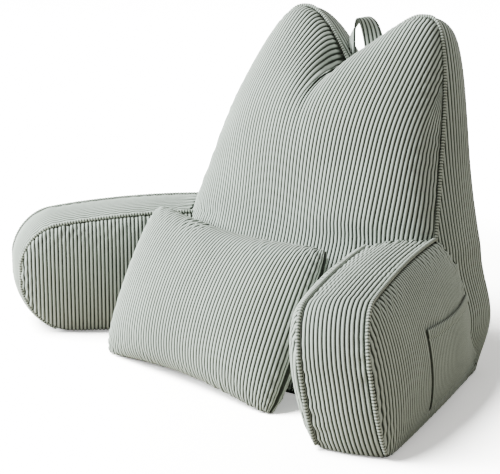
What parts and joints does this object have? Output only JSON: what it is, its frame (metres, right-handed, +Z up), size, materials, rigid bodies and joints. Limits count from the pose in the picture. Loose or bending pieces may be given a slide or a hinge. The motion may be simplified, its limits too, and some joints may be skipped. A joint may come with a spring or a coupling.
{
  "type": "reading pillow",
  "caption": "Reading pillow in wide-rib corduroy: a plump backrest with pointed corners, splayed arms, piped seams, a carry strap, a patch pocket and a loose cushion.",
  "frame": {"origin": "on the surface the pillow stands on, under the middle of the backrest, at the flat base", "axes": "+X towards the arm on the right as seen from the front, +Y behind the backrest, +Z up"},
  "size_m": [0.8582, 0.4956, 0.5247],
  "materials": {
    "corduroy": "matte wide-rib corduroy",
    "piping_cover": "matte ribbed cord cover"
  },
  "bodies": {
    "root": {"backrest": "corduroy", "arm_right": "corduroy", "arm_left": "corduroy", "lumbar_cushion": "corduroy", "carry_handle": "corduroy", "side_pocket": "corduroy", "back_piping": "piping_cover", "arm_right_inner_piping": "piping_cover", "arm_right_outer_piping": "piping_cover", "arm_left_inner_piping": "piping_cover", "arm_left_outer_piping": "piping_cover"}
  },
  "joints": []
}
